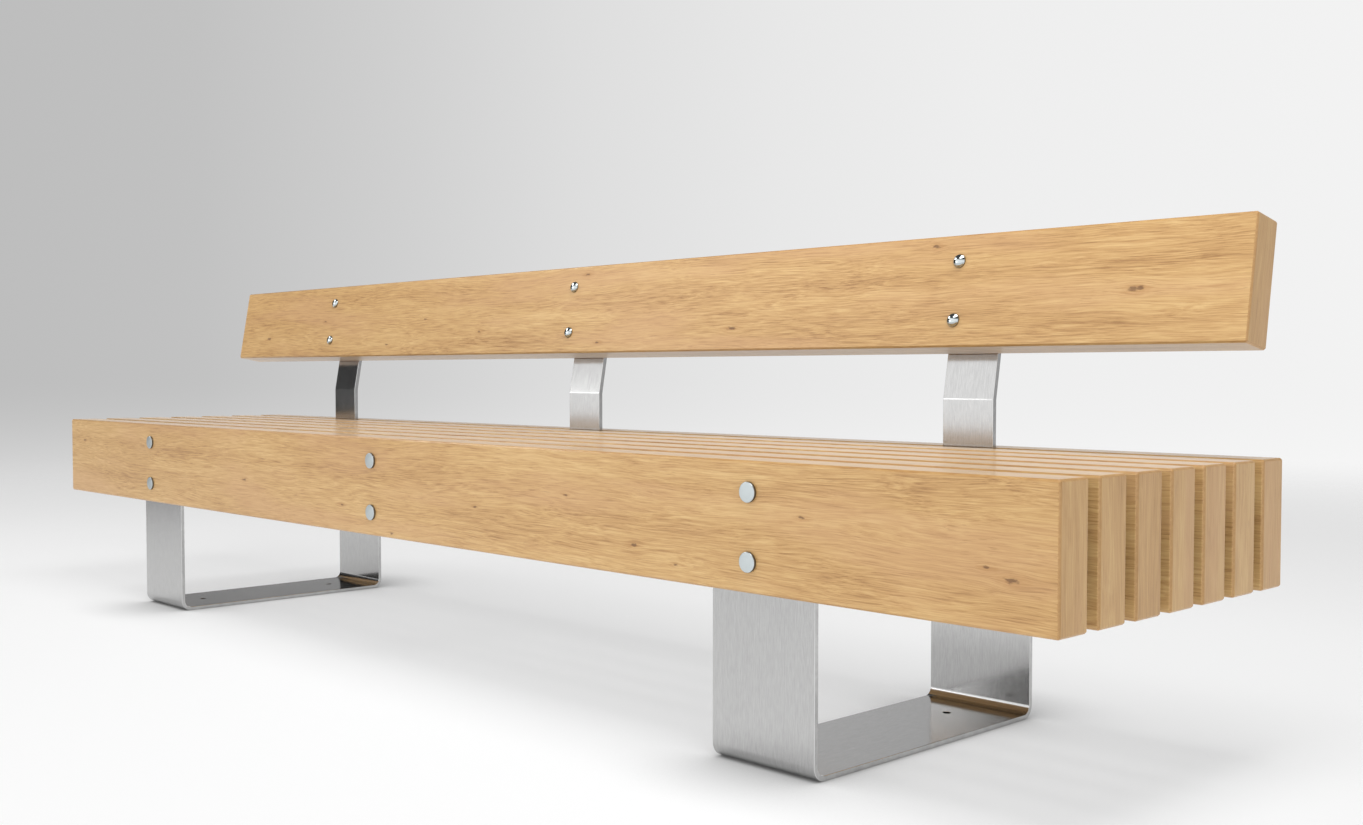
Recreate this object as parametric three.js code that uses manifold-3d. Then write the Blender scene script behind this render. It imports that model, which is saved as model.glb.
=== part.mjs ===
// A long public bench with a backrest. Seven upright timber boards are bolted side by side and stand on two
// U-shaped flat-bar legs. Three bent flat-bar supports rise out of the rear gap and hold a tilted back board.
// Millimetres, +Z up. The origin is on the ground below the middle of the bench. +X runs along the seat and
// +Y runs from the front of the seat towards the backrest.

import * as THREE from "three";
import { mergeVertices } from "three/addons/utils/BufferGeometryUtils.js";
import Module from "manifold-3d";

const wasm = await Module();
wasm.setup();

// Seat boards
const bench_length = 3000;
const seat_height = 450;
const seat_board_count = 7;
const board_thickness = 65;
const board_height = 190;
const board_gap = 26;
const board_chamfer = 3;

// Bolted stations: one near each end and one in the middle
const station_inset = 500;
const upper_rod_depth = 45; // below the seat top
const lower_rod_depth = 145; // below the seat top
const rod_diameter = 12;
const rod_hole_clearance = 1; // on the diameter

// Legs
const leg_width = 200;
const leg_thickness = 8;
const leg_bend_inner_radius = 15;
const leg_top_depth = 25; // from the seat top down to the ends of the uprights
const mortise_clearance = 0.5; // on each side of an upright
const anchor_hole_diameter = 14;
const anchor_hole_inset = 100; // from the outer face of an upright

// Spacer blocks between the seat boards
const spacer_width = 60;
const spacer_margin = 20; // from a rod's axis to the block's upper or lower end

// Back supports
const support_width = 100;
const support_thickness = 10;
const support_bend_inner_radius = 15;
const support_bend_rise = 80; // from the seat top up to the bend
const support_foot_rise = 20; // from the underside of the seat boards up to the support's lower end
const support_top_drop = 20; // from the back board's top edge down to the support's upper end

// Back board
const back_tilt = THREE.MathUtils.degToRad(10);
const back_board_rise = 77; // from the bend, along the tilted part, to the board's lower edge
const back_board_thickness = 65;
const back_board_height = 190;
const back_lower_bolt_rise = 45; // above the board's lower edge
const back_upper_bolt_rise = 145; // above the board's lower edge
const back_bolt_diameter = 10;
const back_bolt_hole_clearance = 1; // on the diameter
const turned_gap = 0.3; // between pieces that seat on each other across the tilt

// Bolt heads
const seat_head_diameter = 30;
const seat_head_height = 5;
const seat_head_rim = 1.2;
const dome_head_diameter = 24;
const dome_head_height = 7;

// Cap nuts, each with a fixed washer
const washer_thickness = 2.5;
const washer_rim = 5.5; // how far the washer shows around the hexagon's flats
const hexagon_height = 10;
const hexagon_rim = 1; // how far the hexagon's flats stand out around the cap
const cap_height = 22; // from the washer's outer face to the top of the cap
const cap_side_wall = 2.5; // around the thread
const cap_end_wall = 5; // left beyond the end of the threaded hole
const thread_clearance = 0.4; // on the diameter
const thread_end_clearance = 1; // between a bolt's end and the bottom of its hole

// Facets
const round_sides = 12; // of every bolt and hole, so that their facets lie side by side
const leg_bend_divisions = 3;
const support_bend_divisions = 1;
const dome_divisions = 3;
const cut_overrun = 1; // how far a cutter passes beyond the faces that it opens

// Derived places
const board_pitch = board_thickness + board_gap;
const seat_depth = seat_board_count * board_thickness + (seat_board_count - 1) * board_gap;
const nut_height = washer_thickness + cap_height;
const overall_depth = seat_head_height + seat_depth + nut_height;
const seat_front_y = seat_head_height - overall_depth / 2;
const seat_rear_y = seat_front_y + seat_depth;
const last_board = seat_board_count - 1;
const board_bottom_z = seat_height - board_height;
const rod_heights = {
  upper: seat_height - upper_rod_depth,
  lower: seat_height - lower_rod_depth,
};
const stations = {
  left: station_inset - bench_length / 2,
  middle: 0,
  right: bench_length / 2 - station_inset,
};
const leg_stations = ["left", "right"];
const leg_inset_in_board = (board_thickness - leg_thickness) / 2;
const leg_front_y = seat_front_y + leg_inset_in_board;
const leg_rear_y = seat_rear_y - leg_inset_in_board;
const leg_top_z = seat_height - leg_top_depth;
const support_front_y = seat_front_y + last_board * board_pitch - support_thickness;
const support_bend_z = seat_height + support_bend_rise;
const back_bolt_rises = {
  upper: back_board_rise + back_upper_bolt_rise,
  lower: back_board_rise + back_lower_bolt_rise,
};

// Materials
function oak() {
  return new THREE.MeshStandardMaterial({ color: 0xd7ac76, roughness: 0.55, metalness: 0 });
}

function brushed_steel() {
  return new THREE.MeshStandardMaterial({ color: 0xb9b9b9, roughness: 0.35, metalness: 1 });
}

function bright_steel() {
  return new THREE.MeshStandardMaterial({ color: 0xc9cdd2, roughness: 0.22, metalness: 1 });
}

function black_nylon() {
  return new THREE.MeshStandardMaterial({ color: 0x2b2b2c, roughness: 0.6, metalness: 0 });
}

// Solids
// Turns a section's own X, Y and Z into the bench's Y, Z and X.
const section_to_bench = new THREE.Matrix4().makeBasis(
  new THREE.Vector3(0, 1, 0),
  new THREE.Vector3(0, 0, 1),
  new THREE.Vector3(1, 0, 0),
);

// The solid enclosed by a geometry, ready to be joined and cut.
function solid_of(geometry) {
  const bare = geometry.clone();
  bare.deleteAttribute("normal");
  bare.deleteAttribute("uv");
  const merged = mergeVertices(bare, 1e-4);
  return new wasm.Manifold(
    new wasm.Mesh({
      numProp: 3,
      vertProperties: new Float32Array(merged.attributes.position.array),
      triVerts: new Uint32Array(merged.index.array),
    }),
  );
}

// The geometry of a finished solid.
function geometry_of(solid) {
  const mesh = solid.getMesh();
  const geometry = new THREE.BufferGeometry();
  geometry.setAttribute("position", new THREE.BufferAttribute(mesh.vertProperties, mesh.numProp));
  geometry.setIndex(new THREE.BufferAttribute(mesh.triVerts, 1));
  geometry.computeVertexNormals();
  return geometry;
}

// A cylinder whose axis runs front to back, from y to y + length.
function rod_solid(diameter, length, x, y, z, sides = round_sides) {
  const cylinder = new THREE.CylinderGeometry(diameter / 2, diameter / 2, length, sides);
  return solid_of(cylinder.translate(x, y + length / 2, z));
}

// A box centred on x, y and z.
function box_solid(size_x, size_y, size_z, x, y, z) {
  return solid_of(new THREE.BoxGeometry(size_x, size_y, size_z).translate(x, y, z));
}

// A prism whose section is drawn in Y and Z and which is centred on X.
function prism(section, width, divisions) {
  const geometry = new THREE.ExtrudeGeometry(section, {
    depth: width,
    bevelEnabled: false,
    curveSegments: divisions,
  });
  return geometry.translate(0, 0, -width / 2).applyMatrix4(section_to_bench);
}

// A board along X with every edge chamfered. Its front face lies on y = 0 and its lower edge on z = 0.
function board_geometry(length, thickness, height, chamfer) {
  const section = new THREE.Shape([
    new THREE.Vector2(chamfer, 0),
    new THREE.Vector2(thickness - chamfer, 0),
    new THREE.Vector2(thickness, chamfer),
    new THREE.Vector2(thickness, height - chamfer),
    new THREE.Vector2(thickness - chamfer, height),
    new THREE.Vector2(chamfer, height),
    new THREE.Vector2(0, height - chamfer),
    new THREE.Vector2(0, chamfer),
  ]);
  const straight_length = length - 2 * chamfer;
  const geometry = new THREE.ExtrudeGeometry(section, {
    depth: straight_length,
    bevelThickness: chamfer,
    bevelSize: chamfer,
    bevelOffset: -chamfer,
    bevelSegments: 1,
  });
  return geometry.translate(0, 0, -straight_length / 2).applyMatrix4(section_to_bench);
}

// Holes through a board-like piece for both rods of a station.
function cut_rod_holes(solid, x, y, thickness) {
  const diameter = rod_diameter + rod_hole_clearance;
  const length = thickness + 2 * cut_overrun;
  for (const z of Object.values(rod_heights)) {
    solid = solid.subtract(rod_solid(diameter, length, x, y - cut_overrun, z));
  }
  return solid;
}

// Seat board number index, counted from the front. The outer boards are mortised from below for the legs.
function seat_board(index) {
  const board_y = seat_front_y + index * board_pitch;
  const blank = board_geometry(bench_length, board_thickness, board_height, board_chamfer);
  let solid = solid_of(blank.translate(0, board_y, board_bottom_z));
  for (const x of Object.values(stations)) {
    solid = cut_rod_holes(solid, x, board_y, board_thickness);
  }
  if (index === 0 || index === last_board) {
    const mortise_top_z = leg_top_z + mortise_clearance;
    const mortise_height = mortise_top_z - board_bottom_z + cut_overrun;
    for (const station of leg_stations) {
      const mortise = box_solid(
        leg_width + 2 * mortise_clearance,
        leg_thickness + 2 * mortise_clearance,
        mortise_height,
        stations[station],
        board_y + board_thickness / 2,
        mortise_top_z - mortise_height / 2,
      );
      solid = solid.subtract(mortise);
    }
  }
  return geometry_of(solid);
}

// A U bent from flat bar: its uprights stand in the front and rear boards and its base lies on the ground.
function leg(x) {
  const outer_radius = leg_bend_inner_radius + leg_thickness;
  const front_center_y = leg_front_y + outer_radius;
  const rear_center_y = leg_rear_y - outer_radius;
  const section = new THREE.Shape();
  section.moveTo(leg_front_y, leg_top_z);
  section.lineTo(leg_front_y, outer_radius);
  section.absarc(front_center_y, outer_radius, outer_radius, Math.PI, 1.5 * Math.PI, false);
  section.lineTo(rear_center_y, 0);
  section.absarc(rear_center_y, outer_radius, outer_radius, -0.5 * Math.PI, 0, false);
  section.lineTo(leg_rear_y, leg_top_z);
  section.lineTo(leg_rear_y - leg_thickness, leg_top_z);
  section.lineTo(leg_rear_y - leg_thickness, outer_radius);
  section.absarc(rear_center_y, outer_radius, leg_bend_inner_radius, 0, -0.5 * Math.PI, true);
  section.lineTo(front_center_y, leg_thickness);
  section.absarc(front_center_y, outer_radius, leg_bend_inner_radius, 1.5 * Math.PI, Math.PI, true);
  section.lineTo(leg_front_y + leg_thickness, leg_top_z);
  section.closePath();
  let solid = solid_of(prism(section, leg_width, leg_bend_divisions).translate(x, 0, 0));
  solid = cut_rod_holes(solid, x, leg_front_y, leg_thickness);
  solid = cut_rod_holes(solid, x, leg_rear_y - leg_thickness, leg_thickness);
  for (const y of [leg_front_y + anchor_hole_inset, leg_rear_y - anchor_hole_inset]) {
    const radius = anchor_hole_diameter / 2;
    const height = leg_thickness + 2 * cut_overrun;
    const hole = new THREE.CylinderGeometry(radius, radius, height, round_sides);
    solid = solid.subtract(solid_of(hole.rotateX(Math.PI / 2).translate(x, y, leg_thickness / 2)));
  }
  return geometry_of(solid);
}

// The tilted frame of the backrest: its origin is where the two front faces of a support meet, its Z axis
// runs up the tilted face and its Y axis points to the rear.
const backrest = new THREE.Group();
backrest.position.set(0, support_front_y, support_bend_z);
backrest.rotation.x = -back_tilt;
backrest.updateMatrix();

// A flat bar that rises out of the rear gap and leans back above its bend.
function back_support(x) {
  const outer_radius = support_bend_inner_radius + support_thickness;
  const tangent = outer_radius * Math.tan(back_tilt / 2);
  const center_y = support_front_y + outer_radius;
  const center_z = support_bend_z - tangent;
  const foot_z = board_bottom_z + support_foot_rise;
  const tilted_length = back_board_rise + back_board_height - support_top_drop;
  const top_front_y = support_front_y + tilted_length * Math.sin(back_tilt);
  const top_front_z = support_bend_z + tilted_length * Math.cos(back_tilt);
  const bend_end = Math.PI - back_tilt;
  const section = new THREE.Shape();
  section.moveTo(support_front_y, foot_z);
  section.lineTo(support_front_y, center_z);
  section.absarc(center_y, center_z, outer_radius, Math.PI, bend_end, true);
  section.lineTo(top_front_y, top_front_z);
  section.lineTo(
    top_front_y + support_thickness * Math.cos(back_tilt),
    top_front_z - support_thickness * Math.sin(back_tilt),
  );
  section.absarc(center_y, center_z, support_bend_inner_radius, bend_end, Math.PI, false);
  section.lineTo(support_front_y + support_thickness, foot_z);
  section.closePath();
  let solid = solid_of(prism(section, support_width, support_bend_divisions).translate(x, 0, 0));
  solid = cut_rod_holes(solid, x, support_front_y, support_thickness);
  const radius = (back_bolt_diameter + back_bolt_hole_clearance) / 2;
  const length = support_thickness + 2 * cut_overrun;
  for (const rise of Object.values(back_bolt_rises)) {
    const hole = new THREE.CylinderGeometry(radius, radius, length, round_sides);
    hole.translate(x, support_thickness / 2, rise).applyMatrix4(backrest.matrix);
    solid = solid.subtract(solid_of(hole));
  }
  return geometry_of(solid);
}

// A block between seat boards index and index + 1. In the rear gap it shares the space with a support.
function spacer(index, x) {
  const thickness = index === last_board - 1 ? board_gap - support_thickness : board_gap;
  const front_y = seat_front_y + index * board_pitch + board_thickness;
  const top_z = rod_heights.upper + spacer_margin;
  const bottom_z = rod_heights.lower - spacer_margin;
  const block = box_solid(
    spacer_width,
    thickness,
    top_z - bottom_z,
    x,
    front_y + thickness / 2,
    (top_z + bottom_z) / 2,
  );
  return geometry_of(cut_rod_holes(block, x, front_y, thickness));
}

// The back board in the backrest's tilted frame.
function back_board() {
  const blank = board_geometry(bench_length, back_board_thickness, back_board_height, board_chamfer);
  const front_y = -turned_gap - back_board_thickness;
  let solid = solid_of(blank.translate(0, front_y, back_board_rise));
  const diameter = back_bolt_diameter + back_bolt_hole_clearance;
  const length = back_board_thickness + 2 * cut_overrun;
  for (const x of Object.values(stations)) {
    for (const z of Object.values(back_bolt_rises)) {
      solid = solid.subtract(rod_solid(diameter, length, x, front_y - cut_overrun, z));
    }
  }
  return geometry_of(solid);
}

// A flat round head with a rounded rim in front of y = 0, and a rod of the given length behind it.
function seat_bolt(rod_length) {
  const head_radius = seat_head_diameter / 2;
  const rod_radius = rod_diameter / 2;
  return new THREE.LatheGeometry(
    [
      new THREE.Vector2(0, -seat_head_height),
      new THREE.Vector2(head_radius - seat_head_rim, -seat_head_height),
      new THREE.Vector2(head_radius, seat_head_rim - seat_head_height),
      new THREE.Vector2(head_radius, 0),
      new THREE.Vector2(rod_radius, 0),
      new THREE.Vector2(rod_radius, rod_length),
      new THREE.Vector2(0, rod_length),
    ],
    round_sides,
  );
}

// A domed head in front of y = 0, and a shank of the given length behind it.
function back_bolt(shank_length) {
  const head_radius = dome_head_diameter / 2;
  const shank_radius = back_bolt_diameter / 2;
  const profile = [];
  for (let step = 0; step <= dome_divisions; step++) {
    const angle = (step / dome_divisions) * (Math.PI / 2);
    const radius = head_radius * Math.sin(angle);
    profile.push(new THREE.Vector2(radius, -dome_head_height * Math.cos(angle)));
  }
  profile.push(new THREE.Vector2(shank_radius, 0));
  profile.push(new THREE.Vector2(shank_radius, shank_length));
  profile.push(new THREE.Vector2(0, shank_length));
  return new THREE.LatheGeometry(profile, round_sides);
}

// A cap nut with a fixed washer. It seats on y = 0 and its threaded hole is closed by the cap.
function cap_nut(thread_diameter) {
  const cap_radius = thread_diameter / 2 + cap_side_wall;
  const across_flats = 2 * (cap_radius + hexagon_rim);
  const across_corners = across_flats / Math.cos(Math.PI / 6);
  const hexagon = rod_solid(across_corners, hexagon_height, 0, washer_thickness, 0, 6);
  const washer = rod_solid(across_flats + 2 * washer_rim, washer_thickness, 0, 0, 0);
  const shoulder_y = nut_height - cap_radius;
  const profile = [
    new THREE.Vector2(0, washer_thickness),
    new THREE.Vector2(cap_radius, washer_thickness),
  ];
  for (let step = 0; step <= dome_divisions; step++) {
    const angle = (step / dome_divisions) * (Math.PI / 2);
    const radius = cap_radius * Math.cos(angle);
    profile.push(new THREE.Vector2(radius, shoulder_y + cap_radius * Math.sin(angle)));
  }
  const cap = solid_of(new THREE.LatheGeometry(profile, round_sides));
  const hole_length = nut_height - cap_end_wall + cut_overrun;
  const hole = rod_solid(thread_diameter + thread_clearance, hole_length, 0, -cut_overrun, 0);
  return geometry_of(washer.add(hexagon).add(cap).subtract(hole));
}

const thread_depth = nut_height - cap_end_wall - thread_end_clearance;
const seat_rod_length = seat_depth + thread_depth;
const back_shank_length = back_board_thickness + support_thickness + 3 * turned_gap + thread_depth;

// Assembly
const bench = new THREE.Group();
bench.add(backrest);

function add_piece(parent, name, geometry, material) {
  const mesh = new THREE.Mesh(geometry, material);
  mesh.name = name;
  parent.add(mesh);
  return mesh;
}

for (let index = 0; index < seat_board_count; index++) {
  add_piece(bench, `seat_board_${index + 1}`, seat_board(index), oak());
}

for (const station of leg_stations) {
  add_piece(bench, `leg_${station}`, leg(stations[station]), brushed_steel());
}

for (const [station, x] of Object.entries(stations)) {
  add_piece(bench, `back_support_${station}`, back_support(x), brushed_steel());
  for (let index = 0; index < last_board; index++) {
    add_piece(bench, `spacer_${station}_${index + 1}`, spacer(index, x), black_nylon());
  }
  for (const [level, z] of Object.entries(rod_heights)) {
    const end = `${station}_${level}`;
    const bolt = add_piece(bench, `seat_bolt_${end}`, seat_bolt(seat_rod_length), bright_steel());
    bolt.position.set(x, seat_front_y, z);
    const nut = add_piece(bench, `seat_nut_${end}`, cap_nut(rod_diameter), bright_steel());
    nut.position.set(x, seat_rear_y, z);
  }
  for (const [level, z] of Object.entries(back_bolt_rises)) {
    const end = `${station}_${level}`;
    const bolt = add_piece(backrest, `back_bolt_${end}`, back_bolt(back_shank_length), bright_steel());
    bolt.position.set(x, -back_board_thickness - 2 * turned_gap, z);
    const nut = add_piece(backrest, `back_nut_${end}`, cap_nut(back_bolt_diameter), bright_steel());
    nut.position.set(x, support_thickness + turned_gap, z);
  }
}

add_piece(backrest, "back_board", back_board(), oak());

export default bench;
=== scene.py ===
"""The looks of a public bench with a backrest: oak boards, brushed steel bars, bright bolts and cap nuts.

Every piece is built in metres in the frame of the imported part, and stands for one of its nodes.
"""

import math
import random

import bmesh
import bpy
from mathutils import Matrix, Vector


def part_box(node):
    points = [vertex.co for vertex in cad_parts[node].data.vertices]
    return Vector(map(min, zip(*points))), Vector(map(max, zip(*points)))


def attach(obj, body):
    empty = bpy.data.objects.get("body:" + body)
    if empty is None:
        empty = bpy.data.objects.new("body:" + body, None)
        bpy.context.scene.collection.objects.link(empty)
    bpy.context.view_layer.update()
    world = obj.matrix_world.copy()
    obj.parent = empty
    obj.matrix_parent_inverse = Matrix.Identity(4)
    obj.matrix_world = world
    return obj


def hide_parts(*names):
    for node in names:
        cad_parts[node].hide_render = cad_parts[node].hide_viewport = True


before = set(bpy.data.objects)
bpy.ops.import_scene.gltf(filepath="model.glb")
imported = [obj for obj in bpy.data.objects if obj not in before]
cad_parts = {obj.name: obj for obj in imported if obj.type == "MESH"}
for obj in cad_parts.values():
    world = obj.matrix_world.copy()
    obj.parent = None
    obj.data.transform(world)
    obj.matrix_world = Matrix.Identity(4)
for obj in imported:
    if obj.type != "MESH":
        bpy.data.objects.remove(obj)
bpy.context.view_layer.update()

MM = 0.001

# Layout of the part
STATIONS = ("left", "middle", "right")
LEG_STATIONS = ("left", "right")
LEVELS = ("upper", "lower")
SEAT_BOARDS = 7
BACK_TILT = math.radians(10)

# Boards
BOARD_CHAMFER = 3 * MM
CHAMFER_SOFTENING = 0.9 * MM
SEAT_HOLE_RADIUS = 6.5 * MM
BACK_HOLE_RADIUS = 5.5 * MM
MORTISE_CLEARANCE = 0.5 * MM
CUT_OVERRUN = 5 * MM

# Bars
BAR_EDGE_RADIUS = 0.8 * MM
BAR_EDGE_STEPS = 4
BAR_END_CHAMFER = 0.4 * MM
LEG_THICKNESS = 8 * MM
LEG_OUTER_RADIUS = 23 * MM
ANCHOR_HOLE_RADIUS = 7 * MM
ANCHOR_HOLE_INSET = 100 * MM
ANCHOR_HOLE_DEBURR = 0.5 * MM
SUPPORT_THICKNESS = 10 * MM
SUPPORT_OUTER_RADIUS = 25 * MM
SUPPORT_BEND_Z = 530 * MM
SUPPORT_TILTED_LENGTH = 247 * MM
BEND_STEPS = 16

# Bolts and nuts
SEAT_HEAD_RADIUS = 15 * MM
SEAT_HEAD_HEIGHT = 5 * MM
SEAT_HEAD_RIM = 1.2 * MM
SEAT_HEAD_CROWN = 0.25 * MM
SEAT_HEAD_UNDERCUT = 0.3 * MM
HEAD_TIP_RADIUS = 0.02 * MM
SEAT_ROD_RADIUS = 6 * MM
DOME_RADIUS = 12 * MM
DOME_HEIGHT = 7 * MM
BACK_SHANK_RADIUS = 5 * MM
SHANK_CHAMFER = 0.8 * MM
WASHER_THICKNESS = 2.5 * MM
WASHER_RIM = 5.5 * MM
WASHER_ROUNDING = 0.6 * MM
HEXAGON_HEIGHT = 10 * MM
HEXAGON_RIM = 1 * MM
HEXAGON_CHAMFER_ANGLE = math.radians(30)
HEXAGON_CHAMFER_SHARE = 0.985  # the chamfer's inner radius as a share of the apothem
CAP_SIDE_WALL = 2.5 * MM
CAP_END_WALL = 5 * MM
NUT_HEIGHT = 24.5 * MM
THREAD_CLEARANCE = 0.2 * MM
ROUND_SIDES = 72
RIM_STEPS = 6
DOME_STEPS = 14
CAP_END_ANGLE = 88  # how far up the cap's dome its last ring lies, in degrees
WASHER_STEPS = 4

# Spacer blocks
SPACER_ROUNDING = 1.5 * MM

SMOOTH_ANGLE = math.radians(32)  # edges that turn by more than this stay sharp


# ---------------------------------------------------------------- shader graphs


class Graph:
    """Adds nodes to a shader, one call for each node. An input is a socket or a plain value."""

    def __init__(self, tree):
        self.tree = tree
        tree.nodes.clear()

    def node(self, kind, inputs=(), **settings):
        made = self.tree.nodes.new(kind)
        for name, value in settings.items():
            setattr(made, name, value)
        for key, value in dict(inputs).items():
            self.feed(made.inputs[key], value)
        return made

    def feed(self, socket, value):
        if isinstance(value, bpy.types.NodeSocket):
            self.tree.links.new(value, socket)
        else:
            socket.default_value = value

    def math(self, operation, a, b=0.0):
        return self.node("ShaderNodeMath", {0: a, 1: b}, operation=operation).outputs[0]

    def total(self, start, *terms):
        """Start, plus the value times the weight of each term."""
        for value, weight in terms:
            start = self.math("ADD", start, self.math("MULTIPLY", value, weight))
        return start

    def vector(self, operation, a, b=(0, 0, 0)):
        made = self.node("ShaderNodeVectorMath", {0: a, 1: b}, operation=operation)
        return made.outputs["Value" if operation in ("LENGTH", "DOT_PRODUCT") else "Vector"]

    def split(self, vector):
        made = self.node("ShaderNodeSeparateXYZ", {0: vector})
        return made.outputs[0], made.outputs[1], made.outputs[2]

    def join(self, x, y, z):
        return self.node("ShaderNodeCombineXYZ", {0: x, 1: y, 2: z}).outputs[0]

    def span(self, value, low, high, to_low=0.0, to_high=1.0):
        """Turns value from low..high smoothly into to_low..to_high."""
        inputs = {0: value, 1: low, 2: high, 3: to_low, 4: to_high}
        return self.node("ShaderNodeMapRange", inputs, interpolation_type="SMOOTHSTEP").outputs[0]

    def noise(self, vector, packing, detail=2.0, roughness=0.5, distortion=0.0, output="Fac"):
        """Noise with the given number of features in a metre along each axis."""
        scaled = self.vector("MULTIPLY", vector, packing)
        inputs = {
            "Vector": scaled,
            "Scale": 1.0,
            "Detail": detail,
            "Roughness": roughness,
            "Distortion": distortion,
        }
        return self.node("ShaderNodeTexNoise", inputs).outputs[output]

    def blend(self, factor, a, b, mode="MIX"):
        made = self.node("ShaderNodeMix", data_type="RGBA", blend_type=mode, clamp_factor=True)
        for key, value in ((0, factor), (6, a), (7, b)):
            self.feed(made.inputs[key], value)
        return made.outputs[2]

    def ramp(self, value, stops):
        made = self.node("ShaderNodeValToRGB", {0: value})
        elements = made.color_ramp.elements
        while len(elements) < len(stops):
            elements.new(0.5)
        for element, (position, colour) in zip(elements, stops):
            element.position = position
            element.color = rgba(colour)
        return made.outputs[0]

    def bump(self, height, strength, distance):
        inputs = {"Height": height, "Strength": strength, "Distance": distance}
        return self.node("ShaderNodeBump", inputs).outputs[0]

    def principled(self, inputs):
        """Ends the graph of a material in a principled shader."""
        shader = self.node("ShaderNodeBsdfPrincipled", inputs)
        self.node("ShaderNodeOutputMaterial", {"Surface": shader.outputs[0]})


def rgba(colour):
    """A colour socket's four numbers, from a grey or from red, green and blue."""
    if isinstance(colour, (int, float)):
        colour = (colour, colour, colour)
    return (*colour, 1.0)


def new_material(name):
    material = bpy.data.materials.new(name)
    material.use_nodes = True
    return material, Graph(material.node_tree)


def facing(g, normal):
    """How squarely a surface faces the X axis, and how squarely it faces the axis that it faces most."""
    x, y, z = g.split(g.vector("ABSOLUTE", normal))
    return x, g.math("MAXIMUM", g.math("MAXIMUM", x, y), z)


# ---------------------------------------------------------------- timber

OAK_DARK = (0.335, 0.168, 0.052)
OAK_BROWN = (0.500, 0.285, 0.103)
OAK_BODY = (0.575, 0.347, 0.135)
OAK_PALE = (0.680, 0.458, 0.200)
OAK_TONES = ((0.0, OAK_DARK), (0.3, OAK_BROWN), (0.58, OAK_BODY), (1.0, OAK_PALE))
OAK_PINK = (0.570, 0.328, 0.155)
OAK_END_GRAIN_AND_SHADE = (0.80, 0.79, 0.75)  # the ends' colour is multiplied by this, partly for darker end grain and partly as painted shade on the ends
OAK_EDGE_WEAR_AND_SHADE = (0.86, 0.80, 0.73)  # and that of the chamfers by this, partly for wear and partly as painted shade along the lines between boards
OAK_BOUNCE = 0.5  # the grey that lights neighbours, so the floor and the gaps stay neutral
KNOT_SMEAR = (0.410, 0.200, 0.058)
KNOT_CORE = (0.120, 0.045, 0.012)

# How many features of each pattern fit in a metre, along the board and across it
DRIFT_PACKING = (1.7, 9, 9)
FIBRE_PACKING = (15, 560, 560)
STREAK_PACKING = (6, 230, 230)
PATCH_PACKING = (2.0, 26, 26)
FLARE_PACKING = (7, 60, 60)
FLECK_PACKING = (30, 700, 700)
FLECK_FIELD_PACKING = (5, 30, 30)
PINK_PACKING = (2.2, 13, 13)
WEAR_PACKING = (60, 200, 200)
KNOT_PACKING = (110, 0, 260)

# Offsets from a knot, in knot radii, are multiplied by these. Its core and the bend round it end at 1.
KNOT_CORE_SHAPE = (0.38, 0, 1.25)
KNOT_BEND_SHAPE = (0.10, 0, 0.26)
KNOT_WOBBLE = 2.2
KNOT_PULL = 0.7

# How far each pattern moves the tone, which runs from 0 at the darkest to 1 at the palest
MEAN_TONE = 0.55
BOARD_TONE_SPREAD = 0.04
FIBRE_TONE = 2.3
END_FIBRE_TONE = 1.4
STREAK_TONE = 0.5
PATCH_TONE = 1.0
RING_TONE = -0.10
FLARE_TONE = 0.13
# The back board is made darker, as painted shade against the extra light that its tilt catches
BACK_BOARD_SHADE = -0.08

END_TURN = (0.6, 0.8)  # how squarely a surface faces along the board, from a long face to an end
RING_WIDTH = 3.6 * MM
DRIFT_REACH = 45 * MM
GRAIN_SPREAD = 40  # how far from the origin a board may take its grain, in metres
PITH_AWAY = (0.22, 0.38)
PITH_HEIGHT_SPREAD = 0.1
OAK_IOR = 1.46
VARNISH = 0.28  # the weight of the clear coat
VARNISH_ROUGHNESS = 0.17
OAK_SHEEN = 0.14
OAK_SHEEN_ROUGHNESS = 0.35


def knot(g, place, along, up, radius):
    """Bends the grain round a knot. Gives the bent place, the dark core and the brown smear round it."""
    offset = g.vector("SUBTRACT", place, (along, 0, up))
    wobble = g.math("SUBTRACT", g.noise(place, KNOT_PACKING, detail=3.0), 0.5)
    reach = g.vector("MULTIPLY", offset, [share / radius for share in KNOT_CORE_SHAPE])
    distance = g.total(g.vector("LENGTH", reach), (wobble, KNOT_WOBBLE))
    wide = g.vector("MULTIPLY", offset, [share / radius for share in KNOT_BEND_SHAPE])
    pull = g.span(g.vector("LENGTH", wide), 0.0, 1.0, KNOT_PULL, 0.0)
    shift = g.vector("MULTIPLY", offset, g.join(0.0, 0.0, pull))
    core = g.span(distance, 0.35, 1.0, 1.0, 0.0)
    smear = g.span(distance, 0.6, 3.0, 1.0, 0.0)
    return g.vector("SUBTRACT", place, shift), core, smear


def knotted(g, place, knots):
    """Bends the grain round every knot. Gives the bent place, the knots' cores and their smears."""
    core, smear = 0.0, 0.0
    for along, up, radius in knots:
        place, one_core, one_smear = knot(g, place, along, up, radius)
        core = g.math("MAXIMUM", core, one_core)
        smear = g.math("MAXIMUM", smear, one_smear)
    return place, core, smear


def grain_place(g, place, is_end, start):
    """The place in the grain, which wanders a little, and which runs upright on the board's ends."""
    x, y, z = g.split(place)
    ends = g.node("ShaderNodeMix", data_type="VECTOR")
    for key, value in ((0, is_end), (4, place), (5, g.join(z, y, x))):
        g.feed(ends.inputs[key], value)
    grain = g.vector("ADD", ends.outputs[1], start)
    drift = g.noise(grain, DRIFT_PACKING, detail=3.0, output="Color")
    drift = g.vector("SUBTRACT", drift, (0.5, 0.5, 0.5))
    return g.vector("ADD", grain, g.vector("MULTIPLY", drift, (0, DRIFT_REACH, DRIFT_REACH)))


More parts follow.
